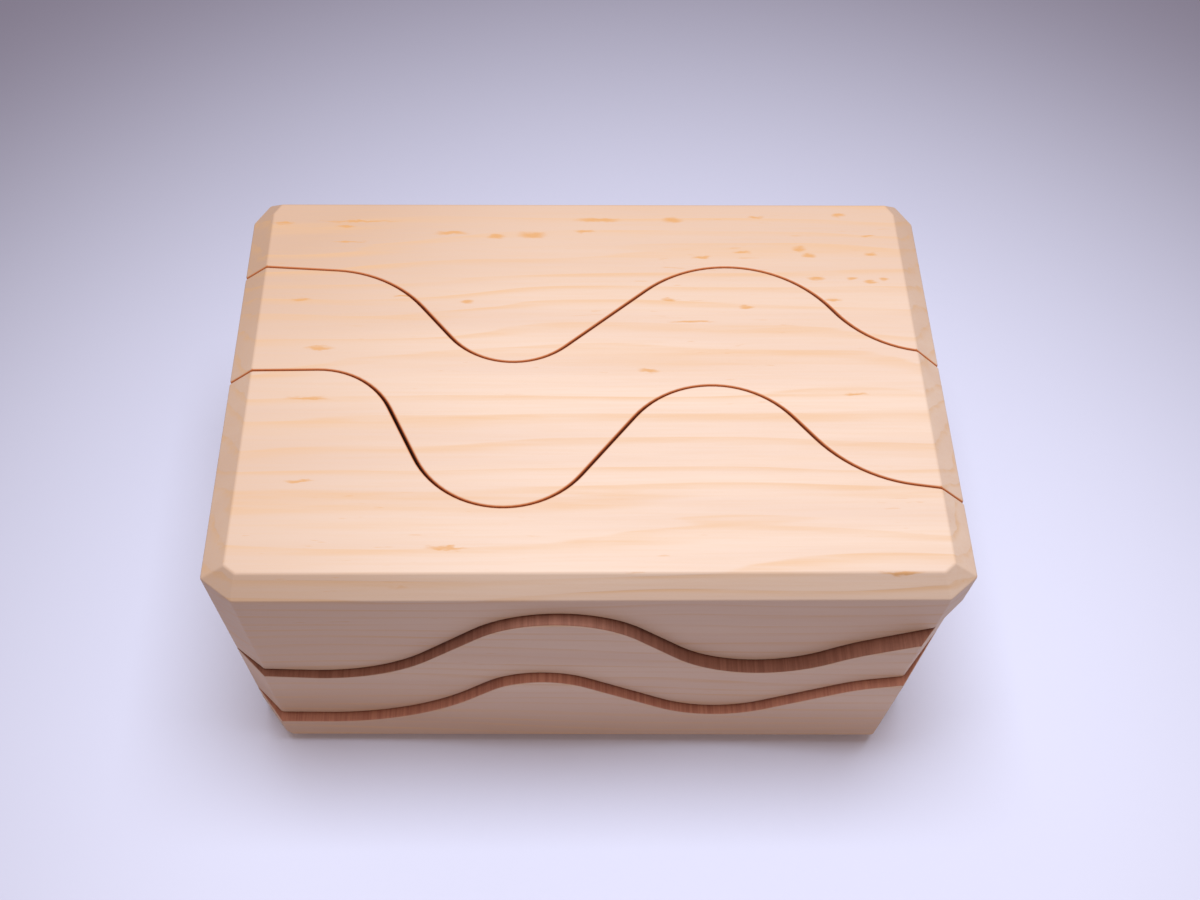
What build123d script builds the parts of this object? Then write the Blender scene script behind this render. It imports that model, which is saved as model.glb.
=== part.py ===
from build123d import *
from math import copysign
import os

# Outside of the block, in millimetres. The origin is the middle of the footprint, on the table.
length = 152.4
depth = 106.7
height = 72.4
half_length = length / 2
back_y = depth / 2

# Each layer's front face stands a little further forward than the one above it.
top_depth = 101.6
top_front_y = back_y - top_depth
middle_step_left = 1.5
middle_step_right = 3.2
bottom_step_left = 3.6
bottom_step_right = depth - top_depth

# Sanded flats along the top and bottom edges: how far they reach in from the ends, in from the
# front and back, and down the sides.
flat_from_end = 5.6
flat_from_face = 3.8
flat_drop = 4.7

# Sanded flats up the four standing edges: how far they run along the face and along the end.
front_left_run = 6.6
top_right_run = 6.0
lower_right_run = 8.5
front_corner_deep = 5.0
lower_right_deep = 7.0
back_run = 3.2
back_corner_deep = 5.5

# Rounding that the sanding leaves between neighbouring faces and flats.
arris_radius = 1.0

# How far the corner of the top or bottom face is drawn in by the small facet beside it.
tip_inset = 1.0

# A layer's front is y at its left corner, y at its right corner, and its right flat's run and depth.
top_layer_front = (top_front_y, top_front_y, top_right_run, front_corner_deep)
middle_layer_front = (
    top_front_y - middle_step_left,
    top_front_y - middle_step_right,
    lower_right_run,
    lower_right_deep,
)
bottom_layer_front = (
    top_front_y - bottom_step_left,
    top_front_y - bottom_step_right,
    lower_right_run,
    lower_right_deep,
)

# Saw cuts. Each one starts on the left side of the block at "start", leaves it at "heading"
# degrees, runs straight for "lead_in" and then takes its bends as (radius, turn, straight run).
kerf = 0.9
overrun = 12.0
front_cut = {
    "start": 3.15,
    "heading": 0.7,
    "lead_in": 19.5,
    "bends": [(17, -65, 13.7), (20, 115.5, 17.9), (21, -103, 6.7), (29.5, 43.3, 11)],
}
back_cut = {
    "start": 31.65,
    "heading": -3.8,
    "lead_in": 21.3,
    "bends": [(27, -47.7, 10.6), (17, 92, 23.4), (27.5, -96, 0.5), (25, 45.7, 6)],
}
upper_cut = {
    "start": 34.1,
    "heading": -4.5,
    "lead_in": 16.2,
    "bends": [(32.5, 51, 15.7), (23, -93.4, 12.3), (23.5, 86.3, 0.5), (41, -12.8, 19)],
}
lower_cut = {
    "start": 11.5,
    "heading": 0.0,
    "lead_in": 16.7,
    "bends": [(46, 47.3, 6.7), (16, -82.4, 20.6), (20.5, 68, 18), (27.5, -16.7, 14.6)],
}

# The blocks are pushed together until the flat runs of each cut nearly close; its steep runs stay
# open.
settle = 0.7

# Hidden compartment in the centre block.
compartment_wall = 5.0
compartment_length = 132.0
compartment_corner = 3.0
floor_thickness = 4.0


def follow_cut(cut, shift):
    """Draw one side of a cut, shift to its left when positive, settled back; give its ends."""
    heading = Vector(1, 0, 0).rotate(Axis.Z, cut["heading"])
    to_the_left = Vector(0, 1, 0).rotate(Axis.Z, cut["heading"])
    settled_start = cut["start"] - copysign(settle / 2, shift)
    entry = Vector(-half_length, settled_start, 0) - heading * overrun + to_the_left * shift
    run = Line(entry, entry + heading * (cut["lead_in"] + overrun))
    for radius, turn, straight in cut["bends"]:
        bend_radius = radius - copysign(shift, shift * turn)
        bend = JernArc(start=run @ 1, tangent=run % 1, radius=bend_radius, arc_size=turn)
        run = Line(bend @ 1, bend @ 1 + (bend % 1) * straight)
    tail = Line(run @ 1, run @ 1 + (run % 1) * overrun)
    return entry, tail @ 1


def outer_line(level):
    """Draw a straight bound clear of the block; give its two ends."""
    beyond = half_length + overrun
    line = Line((-beyond, level), (beyond, level))
    return line @ 0, line @ 1


def bound(cut, shift, side):
    """Draw one side of a cut, or of the whole block where there is no cut; give its ends."""
    if cut:
        return follow_cut(cut, shift)
    return outer_line(side * (half_length + overrun))


def band_between(plane, low_cut, low_shift, high_cut, high_shift):
    """Face between two cuts; a missing cut stands for the outside of the block."""
    with BuildSketch(plane) as band:
        with BuildLine():
            low_ends = bound(low_cut, low_shift, -1)
            high_ends = bound(high_cut, high_shift, 1)
            Line(low_ends[0], high_ends[0])
            Line(low_ends[1], high_ends[1])
        make_face()
    return band.sketch


def flatted_outline(plane, low, high, flat_along, flat_across):
    """Upright rectangle between two ends, with a flat taken off each of its four corners."""
    with BuildSketch(plane) as outline:
        with BuildLine():
            Polyline(
                (low, flat_across),
                (low + flat_along, 0),
                (high - flat_along, 0),
                (high, flat_across),
                (high, height - flat_across),
                (high - flat_along, height),
                (low + flat_along, height),
                (low, height - flat_across),
                close=True,
            )
        make_face()
    return outline.sketch


def take_off_corner(face_point, end_point, tip):
    """Take off what lies outside the plane through the three points."""
    middle = Vector(0, 0, height / 2)
    slope = (face_point - tip).cross(end_point - tip).normalized()
    outward = slope if slope.dot(tip - middle) > 0 else slope * -1
    split(bisect_by=Plane(origin=tip, z_dir=outward), keep=Keep.BOTTOM)


def sanded_block(front):
    """Whole block with the given front face, its outer edges sanded to flats and eased."""
    left_y, right_y, right_run, right_deep = front
    near_y = min(left_y, right_y)
    left_end_y = top_front_y + front_corner_deep
    right_end_y = top_front_y + right_deep
    end_back_y = back_y - back_corner_deep
    front_tip_y = near_y + flat_from_face + tip_inset
    back_tip_y = back_y - flat_from_face - tip_inset
    with BuildSketch(Plane.XY) as footprint:
        with BuildLine():
            Polyline(
                (-half_length + front_left_run, left_y),
                (half_length - right_run, right_y),
                (half_length, right_end_y),
                (half_length, end_back_y),
                (half_length - back_run, back_y),
                (-half_length + back_run, back_y),
                (-half_length, end_back_y),
                (-half_length, left_end_y),
                close=True,
            )
        make_face()
    extrude(footprint.sketch, amount=height)
    long_side = flatted_outline(Plane.XZ, -half_length, half_length, flat_from_end, flat_drop)
    extrude(long_side, amount=depth, both=True, mode=Mode.INTERSECT)
    end_side = flatted_outline(Plane.YZ, near_y, back_y, flat_from_face, flat_drop)
    extrude(end_side, amount=length, both=True, mode=Mode.INTERSECT)
    corners = [
        (-1, left_y, front_tip_y, front_left_run, left_end_y),
        (1, right_y, front_tip_y, right_run, right_end_y),
        (-1, back_y, back_tip_y, back_run, end_back_y),
        (1, back_y, back_tip_y, back_run, end_back_y),
    ]
    for side, face_y, tip_y, run, end_y in corners:
        for shoulder_z, tip_z in ((flat_drop, 0), (height - flat_drop, height)):
            face_point = Vector(side * (half_length - run), face_y, shoulder_z)
            end_point = Vector(side * half_length, end_y, shoulder_z)
            tip = Vector(side * (half_length - flat_from_end - tip_inset), tip_y, tip_z)
            take_off_corner(face_point, end_point, tip)
    fillet(edges(), radius=arris_radius)


def keep_strip(front_side, back_side):
    """Keep what lies between two of the cuts that run through the height."""
    strip = band_between(Plane.XY, front_side, kerf / 2, back_side, -kerf / 2)
    extrude(strip, amount=height, mode=Mode.INTERSECT)


def keep_layer(under_side, upper_side, under_spare=kerf / 2, upper_spare=kerf / 2):
    """Keep what lies between two of the cuts that run through the depth."""
    layer = band_between(Plane.XZ, under_side, under_spare, upper_side, -upper_spare)
    extrude(layer, amount=depth, both=True, mode=Mode.INTERSECT)


# Top layer.
with BuildPart() as top_front:
    sanded_block(top_layer_front)
    keep_strip(None, front_cut)
    keep_layer(upper_cut, None)
top_front.part.label = "top_front"

with BuildPart() as top_middle:
    sanded_block(top_layer_front)
    keep_strip(front_cut, back_cut)
    keep_layer(upper_cut, None)
top_middle.part.label = "top_middle"

with BuildPart() as top_back:
    sanded_block(top_layer_front)
    keep_strip(back_cut, None)
    keep_layer(upper_cut, None)
top_back.part.label = "top_back"

# Middle layer. Its centre block is hollow, with its underside sliced off as a glued floor.
with BuildPart() as middle_front:
    sanded_block(middle_layer_front)
    keep_strip(None, front_cut)
    keep_layer(lower_cut, upper_cut)
middle_front.part.label = "middle_front"

with BuildPart() as centre_walls:
    sanded_block(middle_layer_front)
    keep_strip(front_cut, back_cut)
    keep_layer(lower_cut, upper_cut, under_spare=kerf / 2 + floor_thickness)
    with BuildSketch(Plane.XY):
        inset = kerf / 2 + compartment_wall
        add(band_between(Plane.XY, front_cut, inset, back_cut, -inset))
        Rectangle(compartment_length, 2 * depth, mode=Mode.INTERSECT)
        corners_by_end = vertices().group_by(Axis.X)
        fillet(corners_by_end[0] + corners_by_end[-1], radius=compartment_corner)
    extrude(amount=height, mode=Mode.SUBTRACT)
centre_walls.part.label = "centre_walls"

with BuildPart() as centre_floor:
    sanded_block(middle_layer_front)
    keep_strip(front_cut, back_cut)
    keep_layer(lower_cut, lower_cut, upper_spare=-kerf / 2 - floor_thickness)
centre_floor.part.label = "centre_floor"

with BuildPart() as middle_back:
    sanded_block(middle_layer_front)
    keep_strip(back_cut, None)
    keep_layer(lower_cut, upper_cut)
middle_back.part.label = "middle_back"

# Bottom layer.
with BuildPart() as bottom_front:
    sanded_block(bottom_layer_front)
    keep_strip(None, front_cut)
    keep_layer(None, lower_cut)
bottom_front.part.label = "bottom_front"

with BuildPart() as bottom_middle:
    sanded_block(bottom_layer_front)
    keep_strip(front_cut, back_cut)
    keep_layer(None, lower_cut)
bottom_middle.part.label = "bottom_middle"

with BuildPart() as bottom_back:
    sanded_block(bottom_layer_front)
    keep_strip(back_cut, None)
    keep_layer(None, lower_cut)
bottom_back.part.label = "bottom_back"

os.makedirs("parts", exist_ok=True)
export_step(top_front.part, "parts/top_front.step")
export_step(top_middle.part, "parts/top_middle.step")
export_step(top_back.part, "parts/top_back.step")
export_step(middle_front.part, "parts/middle_front.step")
export_step(centre_walls.part, "parts/centre_walls.step")
export_step(centre_floor.part, "parts/centre_floor.step")
export_step(middle_back.part, "parts/middle_back.step")
export_step(bottom_front.part, "parts/bottom_front.step")
export_step(bottom_middle.part, "parts/bottom_middle.step")
export_step(bottom_back.part, "parts/bottom_back.step")
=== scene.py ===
import math

import bpy
from mathutils import Matrix, Vector

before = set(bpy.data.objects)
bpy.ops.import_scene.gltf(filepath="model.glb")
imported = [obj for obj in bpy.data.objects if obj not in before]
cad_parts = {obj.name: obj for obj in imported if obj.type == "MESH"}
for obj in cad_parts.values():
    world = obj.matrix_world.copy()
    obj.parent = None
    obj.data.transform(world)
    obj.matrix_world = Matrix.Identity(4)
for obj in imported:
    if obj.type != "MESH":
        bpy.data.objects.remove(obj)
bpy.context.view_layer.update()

MM = 0.001

# Places on the block, in millimetres, as the CAD has them.
HALF_LENGTH = 76.2
HALF_HEIGHT = 36.2
BACK_Y = 53.35
TOP_FRONT_Y = -48.25
FLAT_FROM_END = 5.6
FLAT_FROM_FACE = 3.8
FLAT_DROP = 4.7
TIP_INSET = 1.0
FRONT_LEFT_RUN = 6.6
FRONT_DEEP = 5.0
BACK_RUN = 3.2
BACK_DEEP = 5.5

# Each layer's front: how far it stands forward at the left and at the right, and the run and depth
# of its right flat.
LAYER_FRONTS = {
    "top": (0.0, 0.0, 6.0, 5.0),
    "middle": (1.5, 3.2, 8.5, 7.0),
    "bottom": (3.6, 5.1, 8.5, 7.0),
}

# Rounding of the arrises along the saw cuts, and the least turn in degrees that it is for.
SAW_ARRIS = 0.5
SAW_ANGLE = 40

# Growth rings of the pine: how far apart they are, where the pith lies below the front, how far
# they sway along the block, how uneven their widths are, and how strongly they and the fibre show.
RING_SPACING = 3.7
PITH_Y = -150
PITH_Z = -130
RING_SWAY = 14.0
RING_UNEVENNESS = 1.8
RING_STRENGTH = 0.6
FIBRE_STRENGTH = 0.18

# Colours of clean sanded pine, and a darker one painted as shade.
EARLY_WOOD = (0.585, 0.43, 0.335, 1)
PALE_WOOD = (0.62, 0.47, 0.368, 1)
LATE_WOOD = (0.57, 0.34, 0.17, 1)
PAINTED_SHADE_WOOD = (0.475, 0.315, 0.22, 1)
RESIN = (0.53, 0.26, 0.08, 1)

# Colours of the sawn faces, each from dark to light, with orange painted as light bouncing in the
# kerf mouths, and how much painted light brightens the brown of each layer where it shows outside.
SAWN_BROWN = ((0.20, 0.078, 0.050), (0.28, 0.12, 0.078))
SAWN_TAN = ((0.50, 0.29, 0.17, 1), (0.62, 0.40, 0.26, 1))
SAWN_PAINTED_BOUNCE = ((0.46, 0.13, 0.06, 1), (0.56, 0.20, 0.07, 1))
SAWN_PAINTED_LIGHT = {"top": 1.0, "middle": 1.0, "bottom": 1.5}

# Gloss of the wood: how rough it is where sanded and where sawn.
SANDED_ROUGHNESS = 0.52
SAWN_ROUGHNESS = 0.8
WOOD_SPECULAR = 0.35

# Relief of the grain and of the blade marks.
RELIEF_STRENGTH = 0.35
RELIEF_DEPTH = 0.06

LAYER_OF_NODE = {
    "top_front": "top",
    "top_middle": "top",
    "top_back": "top",
    "middle_front": "middle",
    "centre_walls": "middle",
    "centre_floor": "middle",
    "middle_back": "middle",
    "bottom_front": "bottom",
    "bottom_middle": "bottom",
    "bottom_back": "bottom",
}

# How strongly the resin flecks show, those placed on top and those scattered all through.
FLECK_STRENGTH = 0.8
SCATTER_STRENGTH = 0.4

# Half of how deep a fleck goes, in millimetres.
FLECK_HALF_DEEP = 2.8

# Resin flecks on the top face: middle x, middle y, half length and half width in millimetres.
TOP_FLECKS = [
    (-68, 44, 2.6, 0.5), (-51, 44.5, 9.5, 0.35), (-54, 43, 2.4, 0.4), (-53, 38.5, 4.0, 0.3),
    (-30, 41, 4.0, 0.6), (-20, 40, 2.2, 0.8), (-12, 40.5, 3.4, 1.0), (3, 45, 5.5, 0.6),
    (0, 41.5, 2.6, 0.5), (20, 45, 2.6, 0.8), (39, 46, 2.0, 0.4), (58, 46.5, 1.8, 0.6),
    (48, 36.5, 1.8, 0.8), (50, 34.5, 1.8, 0.7), (35, 35.5, 2.2, 0.5), (26, 34, 2.4, 0.4),
    (51, 28, 2.2, 0.6), (59, 28, 1.4, 0.5), (63, 27, 1.8, 0.6), (66, 28, 1.2, 0.5),
    (64, 35, 1.6, 0.5), (64, 40.5, 1.8, 0.4), (-62, 22, 2.4, 0.6), (-40, 23, 2.2, 0.4),
    (-26, 21.5, 1.6, 0.7), (35, 20, 1.8, 0.5), (18, 22, 1.8, 0.5), (54, 22, 2.2, 0.5),
    (-57, 9, 3.4, 0.6), (-58, -4, 5.0, 0.5), (23, 16, 5.5, 0.3), (13, 3, 2.4, 0.6),
    (56, -3, 2.8, 0.4), (-37, -46.5, 3.4, 0.5), (-28, -39, 4.5, 0.4), (60, -44.5, 4.5, 0.4),
    (-58, -24, 3.2, 0.4),
]

# Camera: where it stands in millimetres, how it is turned in degrees, its focal length in widths of
# the picture, and its shift.
CAMERA_PLACE = (-7.3, -153.95, 291.7)
CAMERA_YAW = -1.687
CAMERA_ELEVATION = 59.656
CAMERA_ROLL = -1.375
FOCAL_IN_WIDTHS = 1.0620833
CAMERA_SHIFT = (0.0233, 0.0317)

# Overhead light, in metres and watts, and the fill from all round.
LIGHT_PLACE = (0.02, 0.085, 0.70)
LIGHT_WIDE = 0.45
LIGHT_DEEP = 0.3
LIGHT_POWER = 5.95
LIGHT_COLOUR = (0.82, 0.90, 1.0)
FILL_COLOUR = (1.0, 0.76, 0.64, 1)
FILL_STRENGTH = 0.52

# Floor, in metres: the brightest spot of painted light, and from where to where painted shade
# darkens it.
FLOOR_SIZE = 6
FLOOR_BRIGHTEST = (0.02, -0.08, 0)
FLOOR_SHADE_START = 0.08
FLOOR_SHADE_END = 0.38
FLOOR_PALE = ((0.59, 0.605, 0.745, 1), (0.63, 0.645, 0.785, 1))
FLOOR_PAINTED_SHADE = (0.17, 0.155, 0.20, 1)


class Graph:
    """Short names for the shader nodes that the wood needs."""

    def __init__(self, tree):
        self.tree = tree

    def node(self, kind, **settings):
        made = self.tree.nodes.new(kind)
        for key, value in settings.items():
            setattr(made, key, value)
        return made

    def feed(self, socket, value):
        if isinstance(value, bpy.types.NodeSocket):
            self.tree.links.new(value, socket)
        elif value is not None:
            socket.default_value = value

    def math(self, operation, first, second=None, third=None, clamp=False):
        made = self.node("ShaderNodeMath", operation=operation, use_clamp=clamp)
        for socket, value in zip(made.inputs, (first, second, third)):
            self.feed(socket, value)
        return made.outputs[0]

    def vector(self, operation, first, second=None, third=None):
        made = self.node("ShaderNodeVectorMath", operation=operation)
        for socket, value in zip(made.inputs, (first, second, third)):
            self.feed(socket, value)
        return made.outputs["Value" if operation in ("DOT_PRODUCT", "LENGTH") else "Vector"]

    def split(self, place):
        made = self.node("ShaderNodeSeparateXYZ")
        self.feed(made.inputs[0], place)
        return made.outputs

    def join(self, x=None, y=None, z=None):
        made = self.node("ShaderNodeCombineXYZ")
        for socket, value in zip(made.inputs, (x, y, z)):
            self.feed(socket, value)
        return made.outputs[0]

    def noise(self, place, detail, roughness, waves, offset=(0, 0, 0)):
        """Noise with so many waves per unit of length along x, y and z."""
        laid = self.vector("MULTIPLY_ADD", place, waves, offset)
        made = self.node("ShaderNodeTexNoise")
        self.feed(made.inputs["Vector"], laid)
        made.inputs["Scale"].default_value = 1.0
        made.inputs["Detail"].default_value = detail
        made.inputs["Roughness"].default_value = roughness
        return made.outputs["Fac"]

    def ramp(self, value, low, high, start=0.0, end=1.0):
        """Smooth change from start to end while the value goes from low to high."""
        made = self.node("ShaderNodeMapRange", interpolation_type="SMOOTHSTEP")
        for socket, given in zip(made.inputs, (value, low, high, start, end)):
            self.feed(socket, given)
        return made.outputs["Result"]

    def mix(self, factor, first, second):
        made = self.node("ShaderNodeMix", data_type="RGBA")
        self.feed(made.inputs["Factor"], factor)
        self.feed(made.inputs["A"], first)
        self.feed(made.inputs["B"], second)
        return made.outputs["Result"]


def plane_through(first, second, third):
    """Outward normal and distance of a plane, in millimetres, from three points on it."""
    normal = (Vector(second) - Vector(first)).cross(Vector(third) - Vector(first)).normalized()
    reach = normal.dot(Vector(first))
    return (normal, reach) if reach > 0 else (-normal, -reach)


def outside_planes(layer):
    """The block's outer faces: some for x as it is, the rest for x without its sign.

    z is counted up or down from the middle of the height.
    """
    left_step, right_step, right_run, right_deep = LAYER_FRONTS[layer]
    left_y = TOP_FRONT_Y - left_step
    right_y = TOP_FRONT_Y - right_step
    near_y = min(left_y, right_y)
    left_end_y = TOP_FRONT_Y + FRONT_DEEP
    right_end_y = TOP_FRONT_Y + right_deep
    end_back_y = BACK_Y - BACK_DEEP
    shoulder = HALF_HEIGHT - FLAT_DROP
    inner_x = HALF_LENGTH - FLAT_FROM_END
    front_tip = (inner_x - TIP_INSET, near_y + FLAT_FROM_FACE + TIP_INSET, HALF_HEIGHT)
    back_tip = (inner_x - TIP_INSET, BACK_Y - FLAT_FROM_FACE - TIP_INSET, HALF_HEIGHT)
    left_face = (-HALF_LENGTH + FRONT_LEFT_RUN, left_y)
    right_face = (HALF_LENGTH - right_run, right_y)
    back_face = (HALF_LENGTH - BACK_RUN, BACK_Y)
    signed = [
        plane_through((*left_face, 0), (*right_face, 0), (*right_face, 1)),
        plane_through((*left_face, 0), (*left_face, 1), (-HALF_LENGTH, left_end_y, 0)),
        plane_through((*right_face, 0), (*right_face, 1), (HALF_LENGTH, right_end_y, 0)),
        plane_through((*left_face, shoulder), (-HALF_LENGTH, left_end_y, shoulder),
                      (-front_tip[0], *front_tip[1:])),
        plane_through((*right_face, shoulder), (HALF_LENGTH, right_end_y, shoulder), front_tip),
    ]
    mirrored = [
        (Vector((1, 0, 0)), HALF_LENGTH),
        (Vector((0, 0, 1)), HALF_HEIGHT),
        (Vector((0, 1, 0)), BACK_Y),
        plane_through((HALF_LENGTH, 0, shoulder), (HALF_LENGTH, 1, shoulder),
                      (inner_x, 0, HALF_HEIGHT)),
        plane_through((0, BACK_Y, shoulder), (1, BACK_Y, shoulder),
                      (0, BACK_Y - FLAT_FROM_FACE, HALF_HEIGHT)),
        plane_through((0, near_y, shoulder), (1, near_y, shoulder),
                      (0, near_y + FLAT_FROM_FACE, HALF_HEIGHT)),
        plane_through((*back_face, 0), (*back_face, 1), (HALF_LENGTH, end_back_y, 0)),
        plane_through((*back_face, shoulder), (HALF_LENGTH, end_back_y, shoulder), back_tip),
    ]
    return signed, mirrored


def height_from_middle(graph, z):
    """How far up or down a height lies from the middle of the block, in millimetres."""
    return graph.math("ABSOLUTE", graph.math("SUBTRACT", z, HALF_HEIGHT))


def depth_below_outside(graph, place, layer):
    """How far a point lies inside the block's sanded outside, in millimetres."""
    x, y, z = graph.split(place)
    level = height_from_middle(graph, z)
    spots = (graph.join(x, y, level), graph.join(graph.math("ABSOLUTE", x), y, level))
    nearest = None
    for planes, spot in zip(outside_planes(layer), spots):
        for normal, reach in planes:
            gap = graph.math("SUBTRACT", reach, graph.vector("DOT_PRODUCT", spot, tuple(normal)))
            nearest = gap if nearest is None else graph.math("MINIMUM", nearest, gap)
    return nearest


def painted_shade_amount(graph, place):
    """How much painted shade shows: more towards the back, the left end and the foot."""
    x, y, z = graph.split(place)
    back = graph.ramp(y, -5.0, 58.0, 0.0, 0.7)
    left = graph.ramp(x, 0.0, -90.0, 0.0, 0.6)
    foot = graph.ramp(z, 32.0, 6.0, 0.0, 1.0)
    return graph.math("ADD", graph.math("MAXIMUM", back, foot), left, clamp=True)


def growth_rings(graph, place):
    """How much of a dark growth ring a point has: broad, broken lines with one sharper side."""
    sway = graph.math("MULTIPLY_ADD", graph.noise(place, 2.0, 0.5, (0.006, 0.03, 0.03)),
                      RING_SWAY, -RING_SWAY / 2)
    grown = graph.vector("ADD", place, graph.join(y=sway, z=sway))
    from_pith = graph.vector("MULTIPLY_ADD", grown, (0.02, 1, 1), (0, -PITH_Y, -PITH_Z))
    radius = graph.vector("LENGTH", from_pith)
    uneven = graph.noise(place, 3.0, 0.6, (0.0, 0.09, 0.09), (3, 1, 7))
    turns = graph.math("MULTIPLY_ADD", uneven, RING_UNEVENNESS,
                       graph.math("DIVIDE", radius, RING_SPACING))
    year = graph.math("FRACT", turns)
    ring = graph.math("MULTIPLY", graph.ramp(year, 0.55, 0.92), graph.ramp(year, 1.0, 0.94))
    broken = graph.noise(place, 3.0, 0.6, (0.03, 0.5, 0.5), (11, 5, 2))
    return graph.math("MULTIPLY", ring, graph.ramp(broken, 0.3, 0.7, 0.25, 1.0))


def add_grain(graph, place, ring, fibre):
    """Colour of clean sanded pine at a point: streaks, painted shade, growth rings and fibre."""
    streak = graph.noise(place, 3.0, 0.5, (0.008, 0.12, 0.12), (21, 3, 4))
    colour = graph.mix(graph.ramp(streak, 0.3, 0.7), EARLY_WOOD, PALE_WOOD)
    # Painted shade: darker towards the back, the left end and the foot.
    colour = graph.mix(painted_shade_amount(graph, place), colour, PAINTED_SHADE_WOOD)
    colour = graph.mix(graph.math("MULTIPLY", ring, RING_STRENGTH), colour, LATE_WOOD)
    return graph.mix(graph.ramp(fibre, 0.35, 0.75, 0.0, FIBRE_STRENGTH), colour, LATE_WOOD)


def add_flecks(graph, place, colour):
    """Short brown resin flecks: the ones that show on top, and faint ones all through."""
    wobble = graph.noise(place, 2.0, 0.5, (0.35, 1.1, 1.1), (2, 8, 5))
    shift = graph.math("MULTIPLY_ADD", wobble, 1.6, -0.8)
    rough_place = graph.vector("ADD", place, graph.join(y=shift))
    nearest = None
    for x, y, half_long, half_wide in TOP_FLECKS:
        size = (1 / half_long, 1 / half_wide, 1 / FLECK_HALF_DEEP)
        moved = (-x / half_long, -y / half_wide, -2 * HALF_HEIGHT / FLECK_HALF_DEEP)
        reach = graph.vector("LENGTH", graph.vector("MULTIPLY_ADD", rough_place, size, moved))
        nearest = reach if nearest is None else graph.math("MINIMUM", nearest, reach)
    placed = graph.math("MULTIPLY", graph.ramp(nearest, 1.2, 0.3), FLECK_STRENGTH)
    small = graph.noise(place, 2.0, 0.5, (0.16, 1.5, 1.5), (40, 13, 6))
    crowd = graph.noise(place, 1.0, 0.5, (0.02, 0.04, 0.04), (7, 2, 9))
    scattered = graph.math("MULTIPLY", graph.ramp(small, 0.68, 0.76),
                           graph.ramp(crowd, 0.45, 0.65, 0.0, SCATTER_STRENGTH))
    return graph.mix(graph.math("MAXIMUM", placed, scattered), colour, RESIN)


def sawn_brown(painted_light):
    """Dark and light brown of a sawn face, brightened by painted light."""
    return [(*(painted_light * part for part in shade), 1) for shade in SAWN_BROWN]


def add_saw_cut(graph, place, depth, is_cut, marks, colour, painted_light):
    """Darken what the saw left: brown, lit by painted light outside on the bottom layer, patchy and
    paler inside, and orange painted as bounced light in the kerf mouths along the top and bottom.
    """
    rough = graph.ramp(marks, 0.3, 0.7)
    # Near the outside the brown is brightened by painted light, on the bottom layer only.
    outer_brown_with_painted_light = graph.mix(rough, *sawn_brown(painted_light))
    brown = graph.mix(graph.ramp(depth, 4.5, 8.0), outer_brown_with_painted_light, graph.mix(rough, *sawn_brown(1.0)))
    patches = graph.noise(place, 3.0, 0.55, (0.05, 0.03, 0.03), (1, 30, 12))
    paler = graph.math("MULTIPLY", graph.ramp(depth, 5.0, 12.0), graph.ramp(patches, 0.38, 0.62))
    sawn = graph.mix(paler, brown, graph.mix(rough, *SAWN_TAN))
    level = height_from_middle(graph, graph.split(place)[2])
    # Painted bounce light: orange in the kerf mouths near the top and bottom faces, brighter nearer
    # the outside.
    painted_bounce_mask = graph.math("MULTIPLY", graph.ramp(level, 25.0, 29.0), graph.ramp(depth, 1.6, 0.7))
    painted_bounce = graph.mix(graph.ramp(depth, 0.9, 0.3), *SAWN_PAINTED_BOUNCE)
    return graph.mix(is_cut, colour, graph.mix(painted_bounce_mask, sawn, painted_bounce))


def wood(layer):
    """Sanded pine with scorched saw cuts, painted shade and painted bounce light, for the blocks of
    one layer.
    """
    material = bpy.data.materials.new("pine_" + layer)
    material.use_nodes = True
    graph = Graph(material.node_tree)
    shader = material.node_tree.nodes["Principled BSDF"]
    coordinates = graph.node("ShaderNodeTexCoord").outputs["Object"]
    place = graph.vector("MULTIPLY", coordinates, (1 / MM, 1 / MM, 1 / MM))
    depth = depth_below_outside(graph, place, layer)
    is_cut = graph.ramp(depth, 0.075, 0.16)
    ring = growth_rings(graph, place)
    fibre = graph.noise(place, 4.0, 0.65, (0.05, 2.2, 2.2), (5, 9, 1))
    marks = graph.noise(place, 3.0, 0.7, (1.4, 0.05, 0.05), (9, 4, 2))
    colour = add_grain(graph, place, ring, fibre)
    colour = add_flecks(graph, place, colour)
    colour = add_saw_cut(graph, place, depth, is_cut, marks, colour, SAWN_PAINTED_LIGHT[layer])
    graph.feed(shader.inputs["Base Color"], colour)
    roughness = graph.ramp(is_cut, 0.0, 1.0, SANDED_ROUGHNESS, SAWN_ROUGHNESS)
    graph.feed(shader.inputs["Roughness"], roughness)
    shader.inputs["Specular IOR Level"].default_value = WOOD_SPECULAR
    relief = graph.node("ShaderNodeMix", data_type="FLOAT")
    graph.feed(relief.inputs["Factor"], is_cut)
    graph.feed(relief.inputs["A"], graph.math("MULTIPLY_ADD", ring, -0.5,
                                              graph.math("MULTIPLY", fibre, 0.6)))
    graph.feed(relief.inputs["B"], graph.math("MULTIPLY", marks, 2.0))
    bump = graph.node("ShaderNodeBump")
    bump.inputs["Strength"].default_value = RELIEF_STRENGTH
    bump.inputs["Distance"].default_value = RELIEF_DEPTH * MM
    graph.feed(bump.inputs["Height"], relief.outputs["Result"])
    graph.feed(shader.inputs["Normal"], bump.outputs["Normal"])
    return material


def smooth_shading():
    """Geometry nodes that shade every face smooth."""
    group = bpy.data.node_groups.new("smooth_shading", "GeometryNodeTree")
    group.interface.new_socket("Geometry", in_out="INPUT", socket_type="NodeSocketGeometry")
    group.interface.new_socket("Geometry", in_out="OUTPUT", socket_type="NodeSocketGeometry")
    graph = Graph(group)
    entry = graph.node("NodeGroupInput")
    leave = graph.node("NodeGroupOutput")
    smooth = graph.node("GeometryNodeSetShadeSmooth")
    graph.feed(smooth.inputs["Geometry"], entry.outputs[0])
    graph.feed(leave.inputs[0], smooth.outputs["Geometry"])
    return group


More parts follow.
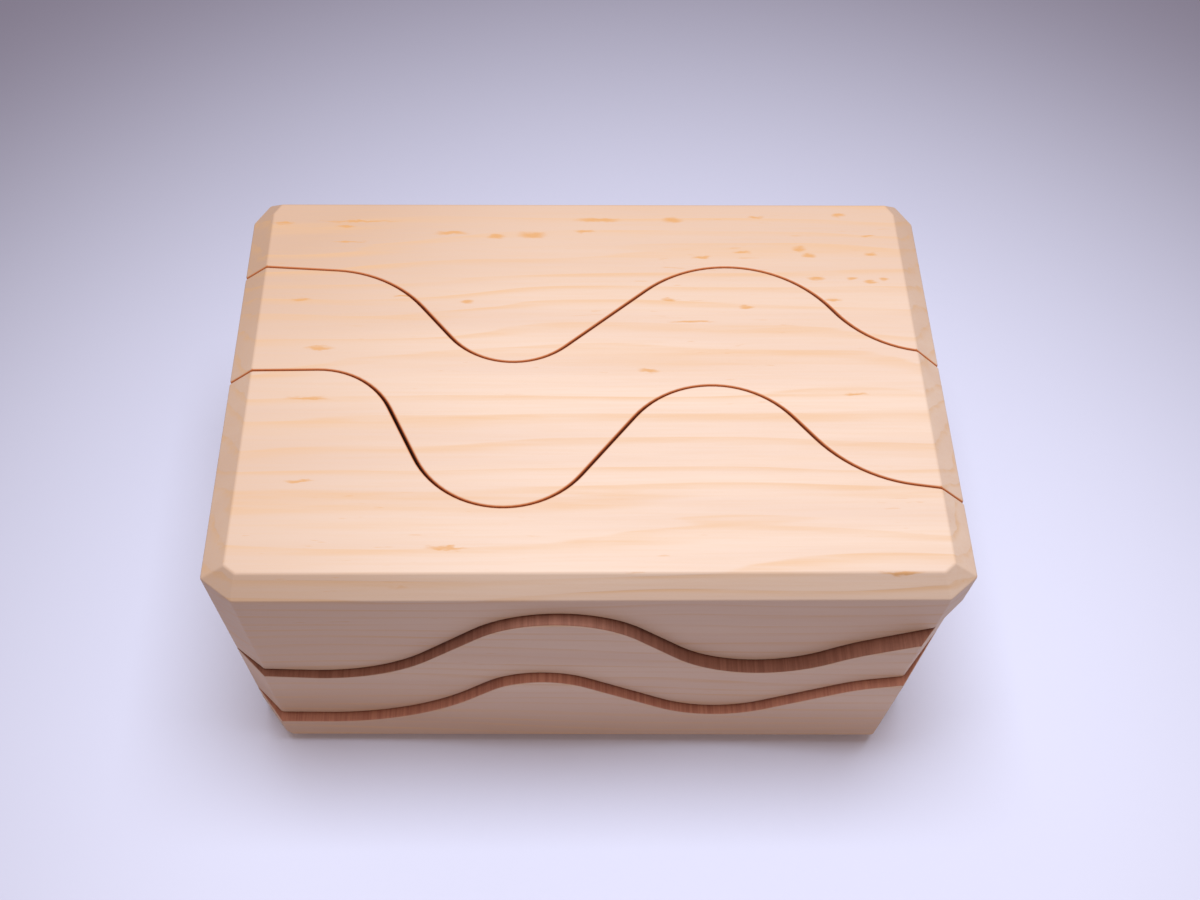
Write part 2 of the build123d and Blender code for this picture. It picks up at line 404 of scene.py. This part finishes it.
def ease_edges(block, smoothing):
    """Round the arrises along the saw cuts and shade the roundings smooth."""
    weld = block.modifiers.new("weld", "WELD")
    weld.merge_threshold = 0.001 * MM
    flat = block.modifiers.new("flat_faces", "DECIMATE")
    flat.decimate_type = "DISSOLVE"
    flat.angle_limit = math.radians(1.0)
    shaded = block.modifiers.new("smooth_shading", "NODES")
    shaded.node_group = smoothing
    bevel = block.modifiers.new("arrises", "BEVEL")
    bevel.limit_method = "ANGLE"
    bevel.angle_limit = math.radians(SAW_ANGLE)
    bevel.width = SAW_ARRIS * MM
    bevel.segments = 2
    bevel.use_clamp_overlap = False
    normals = block.modifiers.new("normals", "WEIGHTED_NORMAL")
    normals.weight = 90


def set_camera():
    """Look down at the box from in front, as the photograph does."""
    yaw = math.radians(CAMERA_YAW)
    elevation = math.radians(CAMERA_ELEVATION)
    roll = math.radians(CAMERA_ROLL)
    camera = bpy.data.cameras.new("camera")
    camera.sensor_width = 36
    camera.lens = FOCAL_IN_WIDTHS * camera.sensor_width
    camera.shift_x, camera.shift_y = CAMERA_SHIFT
    camera.clip_start = 0.01
    camera.clip_end = 20
    level_right = Vector((math.cos(yaw), math.sin(yaw), 0))
    ahead = Vector((-math.sin(yaw) * math.cos(elevation), math.cos(yaw) * math.cos(elevation),
                    -math.sin(elevation)))
    level_down = ahead.cross(level_right)
    right = math.cos(roll) * level_right + math.sin(roll) * level_down
    up = math.sin(roll) * level_right - math.cos(roll) * level_down
    turn = Matrix((right, up, -ahead)).transposed().to_4x4()
    holder = bpy.data.objects.new("camera", camera)
    holder.matrix_world = Matrix.Translation(Vector(CAMERA_PLACE) * MM) @ turn
    bpy.context.scene.collection.objects.link(holder)
    bpy.context.scene.camera = holder


def set_light():
    """One broad cool light above and a little behind, and a warm dim fill from all round."""
    light = bpy.data.lights.new("overhead", "AREA")
    light.shape = "RECTANGLE"
    light.size = LIGHT_WIDE
    light.size_y = LIGHT_DEEP
    light.energy = LIGHT_POWER
    light.color = LIGHT_COLOUR
    holder = bpy.data.objects.new("overhead", light)
    holder.location = LIGHT_PLACE
    bpy.context.scene.collection.objects.link(holder)
    world = bpy.data.worlds.new("studio")
    world.use_nodes = True
    bpy.context.scene.world = world
    fill = world.node_tree.nodes["Background"]
    fill.inputs["Color"].default_value = FILL_COLOUR
    fill.inputs["Strength"].default_value = FILL_STRENGTH
    bpy.context.scene.view_settings.view_transform = "Standard"


def lay_floor():
    """Plain pale sheet under the box, with painted shade darkening it away from the box."""
    bpy.ops.mesh.primitive_plane_add(size=FLOOR_SIZE, location=(0, 0, 0))
    floor = bpy.context.object
    floor.name = "floor"
    material = bpy.data.materials.new("pale_sheet")
    material.use_nodes = True
    graph = Graph(material.node_tree)
    shader = material.node_tree.nodes["Principled BSDF"]
    coordinates = graph.node("ShaderNodeTexCoord").outputs["Object"]
    pale = graph.mix(graph.noise(coordinates, 2.0, 0.5, (6, 6, 6)), *FLOOR_PALE)
    away = graph.vector("LENGTH", graph.vector("SUBTRACT", coordinates, FLOOR_BRIGHTEST))
    painted_falloff = graph.ramp(away, FLOOR_SHADE_START, FLOOR_SHADE_END)
    # Painted shade: the floor grows darker away from its brightest spot.
    colour = graph.mix(painted_falloff, pale, FLOOR_PAINTED_SHADE)
    graph.feed(shader.inputs["Base Color"], colour)
    shader.inputs["Roughness"].default_value = 0.9
    shader.inputs["Specular IOR Level"].default_value = 0.1
    floor.data.materials.append(material)


set_camera()
set_light()
lay_floor()
smoothing = smooth_shading()
layer_wood = {layer: wood(layer) for layer in LAYER_FRONTS}
for node_name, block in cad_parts.items():
    block.data.materials.clear()
    block.data.materials.append(layer_wood[LAYER_OF_NODE[node_name]])
    ease_edges(block, smoothing)
